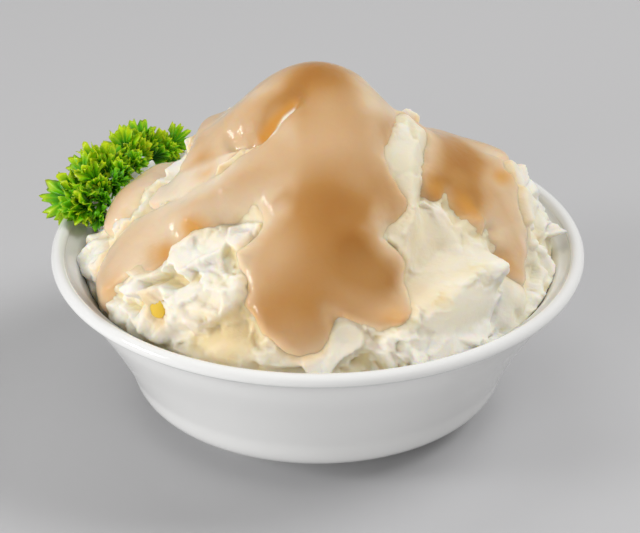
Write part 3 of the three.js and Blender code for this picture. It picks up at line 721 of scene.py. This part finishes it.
# the falls on the left lie over lumps, so that they catch the window in many places
lumpy = np.clip(1.7 * swelling(d, -152, 46, 26, 28, 1) - 0.3, 0, 1)
lumps = lumpy * (0.45 * noise(d * BALL / 5, 33) + 0.12 * noise(d * BALL / 2.2, 34))
full = (THICKNESS + UNEVENNESS * noise(d * BALL / 15, 9) + lumps) * (1 - 0.7 * thinning)
u, v = np.clip(-outside / EDGE_WIDTH, 0, 1), np.clip(-outside_film / FILM_EDGE, 0, 1)
film = np.where(outside_film < 0, FILM_THICKNESS * rounded(v), -DIVE * outside_film)
# the edge of the pour leans a little more than a quarter circle does
height = np.maximum(np.where(outside < 0, full * rounded(u) ** LEAN, -DIVE * outside), film)
outside = np.minimum(outside, outside_film)
gravy_top = np.minimum(smooth + height, cavity_radius(d) - 1)

# the skin is the wet faces of the heap, the same faces turned over deep in the mash, and a wall between
faces = grid_faces(GRAVY_ROWS, GRAVY_COLUMNS, True, True, False)
faces = faces[(outside < 3).reshape(-1)[faces].any(1)]
count = GRAVY_ROWS * GRAVY_COLUMNS
edges = np.stack([faces, np.roll(faces, -1, 1)], -1).reshape(-1, 2)
edges = edges[edges[:, 0] != edges[:, 1]]
_, first, times = np.unique(np.sort(edges, 1) @ np.array([count, 1]), return_index=True, return_counts=True)
start, end = edges[first[times == 1]].T
walls = np.stack([end, start, start + count, end + count], -1)
top = HEART + d * gravy_top[..., None]
under_side = HEART + d * (gravy_top - GRAVY_DEPTH)[..., None]
gravy_points = np.concatenate([top.reshape(-1, 3), under_side.reshape(-1, 3)])
gravy_faces = np.concatenate([faces, faces[:, ::-1] + count, walls])
gravy_mesh, used = mesh_from("gravy_poured", gravy_points, gravy_faces)

# painted sheen and shade: the pale band lightens the middle of the pour, and the fold at the slit is darker
pool_and_sheen = THIN_COAT
for az, el, wide, up, share in POOLS_AND_SHEEN.values():
    pool_and_sheen = pool_and_sheen + swelling(d, az, el, wide, up, share)
pool_and_sheen = np.minimum(pool_and_sheen * (1 + 0.2 * noise(d * BALL / 10, 17)), DEEPEST)
crisp = np.zeros_like(pool_and_sheen)
for az, el, wide, up in CRISP.values():
    crisp = np.maximum(crisp, np.clip(1.4 * swelling(d, az, el, wide, up, 1), 0, 1))
depth_and_sheen_seen = full * pool_and_sheen * (crisp * rounded(u) + (1 - crisp) * smoothstep(-1, 8, -outside))

between_strokes = smoothstep(-1.2, 0.6, outside_pour(d, POURS)) * smoothstep(-1, 1, from_flap)
in_film = smoothstep(0.5, -1.5, outside_film) * between_strokes
thin_arm = swelling(d, -151, 31, 12, 14, 0.5)
thin_shoulder = 0.7 * swelling(d, -22, 72, 7, 6, 1)
patches = 0.25 * noise(d * BALL / 6, 15) * (thinning + in_film)
pale = 0.75 * np.clip(in_film + 0.9 * thinning + thin_arm + thin_shoulder + patches, 0, 1)
from_bare, _ = from_path(d, BARE_LINE)
bare = smoothstep(0.5, -0.6, from_bare)
pale = np.maximum(pale, bare)

golden = np.zeros_like(pale)
for az, el, wide, up, share in GOLDEN.values():
    golden = np.maximum(golden, swelling(d, az, el, wide, up, share))
# painted shade and glow: the fold by the slit is painted golden brown
from_fold, _ = from_path(d, FOLD_LINE)
rim_glow = 0.55 * crisp * np.exp(-(((outside - 0.6) / 1.4) ** 2))
golden = np.maximum(golden * smoothstep(-7, -2, outside), rim_glow)
golden = np.maximum(golden, smoothstep(1.6, -1.0, from_fold)) * (1 - bare)
for name, values in (("thickness_and_sheen", depth_and_sheen_seen), ("golden", golden), ("cream", pale)):
    keep_values(gravy_mesh, name, np.tile(values.reshape(-1), 2)[used])

sauce, tree, shader = new_material("light_brown_gravy", {
    "Roughness": 0.35, "Specular IOR Level": 0.25, "Coat Weight": 0.55, "Coat Roughness": 0.06, "Coat IOR": 1.4,
    "Subsurface Weight": 1.0, "Subsurface Radius": (1.0, 0.55, 0.25), "Subsurface Scale": 0.0009})
brown = tinted(tree, spread(tree, kept(tree, "thickness_and_sheen"), 0.0, 2.8), [
    (0.0, (0.81, 0.66, 0.46)), (0.12, (0.74, 0.56, 0.37)), (0.35, (0.66, 0.435, 0.235)),
    (0.7, (0.51, 0.26, 0.075)), (1.0, (0.40, 0.165, 0.025))])
showing = kept(tree, "cream")
milky = tinted(tree, showing, [(0.7, (0.82, 0.70, 0.53)), (1.0, (0.86, 0.81, 0.71))])
glowing = laid_over(tree, kept(tree, "golden"), laid_over(tree, showing, brown, milky), (0.68, 0.34, 0.07))
tree.links.new(glowing, shader.inputs["Base Color"])
dimple(tree, speckle(tree, 130, 3), 0.5, 0.0012, [shader.inputs["Normal"], shader.inputs["Coat Normal"]])
place_piece("gravy_poured", gravy_mesh, sauce, "gravy")

# ---------------------------------------------------------------- butter
# A small bit of butter, half melted into a hollow between two lumps of mash at the left.
# It is soft, deep yellow and glossy, and drawn out to a point where it has run down.
BUTTER_HALF_WIDTH, BUTTER_HALF_HEIGHT, BUTTER_HALF_DEPTH = 3.0, 4.0, 1.3
BUTTER_RISE, BUTTER_POINT = 0.4, 0.25
BUTTER_ROWS, BUTTER_COLUMNS = 24, 40
seat = direction(*BUTTER)
east = np.array([-np.sin(np.radians(BUTTER[0])), np.cos(np.radians(BUTTER[0])), 0])
north = np.cross(seat, east)
nearest = np.argmax((np.concatenate([shown, hidden]) @ seat).reshape(-1))
seat_radius = mash_radius.reshape(-1)[nearest]
v, w = np.meshgrid(np.linspace(0, np.pi, BUTTER_ROWS),
                   np.linspace(0, 2 * np.pi, BUTTER_COLUMNS, endpoint=False), indexing="ij")
sideways = BUTTER_HALF_WIDTH * np.sin(v) * np.cos(w)
upwards = BUTTER_HALF_HEIGHT * np.sin(v) * np.sin(w) * (1 + BUTTER_POINT * np.sin(v) * np.sin(w))
outwards = BUTTER_HALF_DEPTH * np.cos(v)
knob = sideways[..., None] * east + upwards[..., None] * north + outwards[..., None] * seat
butter_points = (HEART + seat * (seat_radius + BUTTER_RISE) + knob).reshape(-1, 3)
butter_faces = grid_faces(BUTTER_ROWS, BUTTER_COLUMNS, True, True, True)
butter_mesh, _ = mesh_from("butter_knob", butter_points, butter_faces)
fat, _, _ = new_material("melting_butter", {
    "Base Color": (0.76, 0.51, 0.035, 1), "Roughness": 0.3, "Coat Weight": 0.5,
    "Subsurface Weight": 0.6, "Subsurface Radius": (1.0, 0.7, 0.1), "Subsurface Scale": 0.0016})
place_piece("butter_knob", butter_mesh, fat, "butter")

# ---------------------------------------------------------------- parsley
# A sprig of fresh curly parsley, laid over the left of the lip against the heap. Each leaflet is
# a thin crisp fan, tightly frilled along its toothed edge, on a short rib from one main stem.

# foot of the leaflet, its tip, the way its face looks, and how pale it is: the inner and lower ones, which lie in
# shade, are painted deepest as painted shade
LEAFLETS = {
    "left": ([-67, 23, 55.5], [-86, 21, 57], [0.1, -0.35, 0.93], 0.88),
    "left low": ([-67, 20, 55], [-80, 13, 55.5], [-0.2, -0.5, 0.84], 0.85),
    "bottom": ([-66, 19, 54.5], [-67, 11, 50.5], [-0.5, -0.8, 0.3], 0.62),
    "upper left": ([-66, 27, 56.5], [-77, 33, 64.5], [0.3, -0.75, 0.6], 1.0),
    "upper left back": ([-64, 30, 57], [-72, 38, 67.5], [0.2, -0.85, 0.5], 0.95),
    "inner left": ([-65, 25, 56], [-70, 22, 63], [-0.2, -0.85, 0.5], 0.95),
    "centre": ([-62, 32, 57], [-64, 38.6, 67.3], [-0.2, -0.9, 0.4], 0.95),
    "centre front": ([-61, 33, 57], [-59, 28, 64], [0.2, -0.8, 0.55], 0.85),
    "top left": ([-58, 39, 57.5], [-61, 46, 67.5], [-0.3, -0.9, 0.4], 0.95),
    "top": ([-56, 42, 58], [-56, 49, 69.5], [0, -0.93, 0.36], 1.0),
    "top right": ([-54, 45, 58], [-50, 50, 67], [0.3, -0.85, 0.45], 1.0),
    "tuft": ([-50, 47.5, 58.5], [-41, 53, 62.5], [-0.1, -0.85, 0.5], 1.0),
    "tuft low": ([-53, 44.5, 57.5], [-43, 50, 60], [-0.1, -0.85, 0.5], 0.72),
    "front right": ([-64, 26, 56.5], [-58.5, 24, 63.5], [-0.1, -0.85, 0.5], 0.6),
    "low right": ([-67, 20, 55.5], [-63, 17, 60.5], [-0.1, -0.85, 0.5], 0.58),
    "inner top": ([-58, 36, 58], [-54, 33, 66], [0, -0.85, 0.5], 0.7),
}
STEM = np.array([[-67, 14, 54.5], [-66, 22, 54.8], [-62, 33, 55.6], [-56, 42, 56.5], [-49, 48, 58.5]], float)
STEM_RADII, STALK_RADII = np.linspace(0.95, 0.6, 40), np.linspace(0.55, 0.25, 8)
STALK_REACH = 0.45  # how far along a leaflet its stalk goes
# blades on each leaflet: how far along its rib they start, their swing to the side, their lift and their size
SPRAYS = [
    (0.3, 0, 0, 0.78), (0.22, -0.6, 0.1, 0.66), (0.22, 0.6, 0.1, 0.66), (0.1, -1.1, 0.25, 0.52),
    (0.1, 1.1, 0.25, 0.52), (0.12, 0.05, 0.6, 0.62), (0.1, 0.0, -0.45, 0.52)]
LEAF_THICKNESS = 0.25
FAN_ROWS, FAN_COLUMNS = 10, 45
STEM_EDGE, STEM_RIB = 0.45, 0.6  # how green the stem is, on the leaves' own scales


def fan(foot, tip, face, half_angle, phase):
    """One curly blade. s runs from foot to edge and v across it: a point is at angle v * half_angle and
    reach s. The edge is cut into five lobes, each with small teeth, and waves of v pleat and curl the blade
    ever more towards the edge. The two faces meet all round, so the leaf is closed and thins out at its border."""
    axis = tip - foot
    length = np.linalg.norm(axis)
    axis /= length
    up = face - axis * (face @ axis)
    up /= np.linalg.norm(up)
    across = np.cross(up, axis)
    s, v = np.meshgrid(np.linspace(0.04, 1, FAN_ROWS), np.linspace(-1, 1, FAN_COLUMNS), indexing="ij")
    turn = np.radians(half_angle) * v * (0.3 + 0.7 * s) + 0.12 * np.sin(phase) * s * s
    between = np.abs(np.cos(2.5 * np.pi * v + 0.4 * np.sin(phase)))
    lobes = 1 - 0.28 * s**2 * (1 - between) ** 1.6
    teeth = 0.13 * s**3 * (np.abs(((v * 5.5 + phase) % 1) * 2 - 1) - 0.5) - 0.2 * v * v
    curl = (0.1 * s**1.5 * np.cos(3 * np.pi * v + phase) + 0.06 * s * np.cos(7 * np.pi * v + 1.7 * phase)
            + 0.24 * s**2 * np.sin(2.1 * phase))
    reach = (length * s * (lobes + teeth))[..., None]
    way = np.cos(turn)[..., None] * axis + np.sin(turn)[..., None] * across
    points = foot + reach * way + (length * curl)[..., None] * up
    inside = (np.abs(v) < 1) & (s < 1) & (s > 0.05)
    return points, up * (LEAF_THICKNESS / 2) * inside[..., None], s, between**4


def tube(path, radii, sides=10):
    """A round tube along a path that tapers with radii: each ring stands square to the path's direction,
    and each end closes in one point."""
    way = np.gradient(path, axis=0)
    way /= np.linalg.norm(way, axis=1, keepdims=True)
    a = np.cross(way, [0.3, 0.2, 1.0])
    a /= np.linalg.norm(a, axis=1, keepdims=True)
    b = np.cross(way, a)
    w = np.linspace(0, 2 * np.pi, sides, endpoint=False)
    spokes = np.cos(w)[None, :, None] * a[:, None] + np.sin(w)[None, :, None] * b[:, None]
    rings = path[:, None] + radii[:, None, None] * spokes
    return np.concatenate([path[:1, None] + 0 * rings[:1], rings, path[-1:, None] + 0 * rings[-1:]])


rng = np.random.default_rng(7)
leaf_points, leaf_faces, leaf_tone_and_shade, leaf_rib = [], [], [], []
flat_faces = grid_faces(FAN_ROWS, FAN_COLUMNS)
ids = np.arange(FAN_ROWS * FAN_COLUMNS).reshape(FAN_ROWS, FAN_COLUMNS)
border = np.zeros(ids.shape, bool)
border[[0, -1]] = True
border[:, [0, -1]] = True
under_ids = np.where(border, ids, ids + ids.size).reshape(-1)
at = 0
for foot, tip, face, paleness in LEAFLETS.values():
    foot, tip, face = np.array(foot, float), np.array(tip, float), np.array(face, float)
    axis = tip - foot
    length = np.linalg.norm(axis)
    face = face - axis * (face @ axis) / length**2
    face /= np.linalg.norm(face)
    side = np.cross(face, axis / length)
    for start, swing, lift, size in SPRAYS:
        root = foot + axis * start
        way = axis / length + swing * side + lift * face + rng.normal(0, 0.17, 3)
        way /= np.linalg.norm(way)
        end = root + way * length * size * rng.uniform(0.75, 1.0)
        looks = face + rng.normal(0, 0.55, 3)
        half_angle, phase = rng.uniform(48, 70), rng.uniform(0, 6.28)
        points, offset, s, rib = fan(root, end, looks, half_angle, phase)
        leaf_points += [(points + offset).reshape(-1, 3), (points - offset).reshape(-1, 3)]
        leaf_faces += [flat_faces[:, ::-1] + at, under_ids[flat_faces] + at]
        # painted shade: each blade is painted deeper green towards its foot, deep in the sprig, and the shaded leaflets
        # deeper still
        leaf_tone_and_shade += [(s * paleness * rng.uniform(0.8, 1.12)).reshape(-1)] * 2
        leaf_rib += [rib.reshape(-1)] * 2
        at += 2 * ids.size

t = np.linspace(0, len(STEM) - 1, len(STEM_RADII))
i = np.minimum(t.astype(int), len(STEM) - 2)
u = (t - i)[:, None]
ease = u * u * (3 - 2 * u) * 0.35 + u * 0.65
stem_path = STEM[i] * (1 - ease) + STEM[i + 1] * ease
tubes = [tube(stem_path, STEM_RADII)]
run = np.linspace(0, 1, len(STALK_RADII))[:, None]
for foot, tip, _, _ in LEAFLETS.values():
    foot, tip = np.array(foot, float), np.array(tip, float)
    nearest = stem_path[np.argmin(np.linalg.norm(stem_path - foot, axis=1))]
    tubes.append(tube(nearest + (foot + STALK_REACH * (tip - foot) - nearest) * run, STALK_RADII, 8))
for rings in tubes:
    rows, sides = rings.shape[:2]
    leaf_points.append(rings.reshape(-1, 3))
    leaf_faces.append(grid_faces(rows, sides, True, True, True)[:, ::-1] + at)
    leaf_tone_and_shade.append(np.full(rows * sides, STEM_EDGE))
    leaf_rib.append(np.full(rows * sides, STEM_RIB))
    at += rows * sides
parsley_mesh, used = mesh_from("parsley_sprig", np.concatenate(leaf_points), np.concatenate(leaf_faces))
keep_values(parsley_mesh, "edge", np.concatenate(leaf_tone_and_shade)[used])
keep_values(parsley_mesh, "rib", np.concatenate(leaf_rib)[used])

leaf, tree, shader = new_material("fresh_parsley", {
    "Roughness": 0.35, "Specular IOR Level": 0.5, "Subsurface Weight": 0.25,
    "Subsurface Radius": (0.5, 1.0, 0.1), "Subsurface Scale": 0.0006})
# the green is painted shade: deep green towards the feet of the blades and on the shaded leaflets, yellow-green at the
# tips, lighter along the ribs
ribbed = times_plus(tree, 0.25, kept(tree, "rib"), kept(tree, "edge"))
mottled = times_plus(tree, 0.5, speckle(tree, 160, 3), ribbed)
green = tinted(tree, spread(tree, mottled, 0.0, 1 / 0.72), [
    (0.4, (0.006, 0.10, 0.001)), (0.66, (0.13, 0.46, 0.002)), (0.96, (0.55, 0.72, 0.01))])
tree.links.new(green, shader.inputs["Base Color"])
place_piece("parsley_sprig", parsley_mesh, leaf, "parsley")
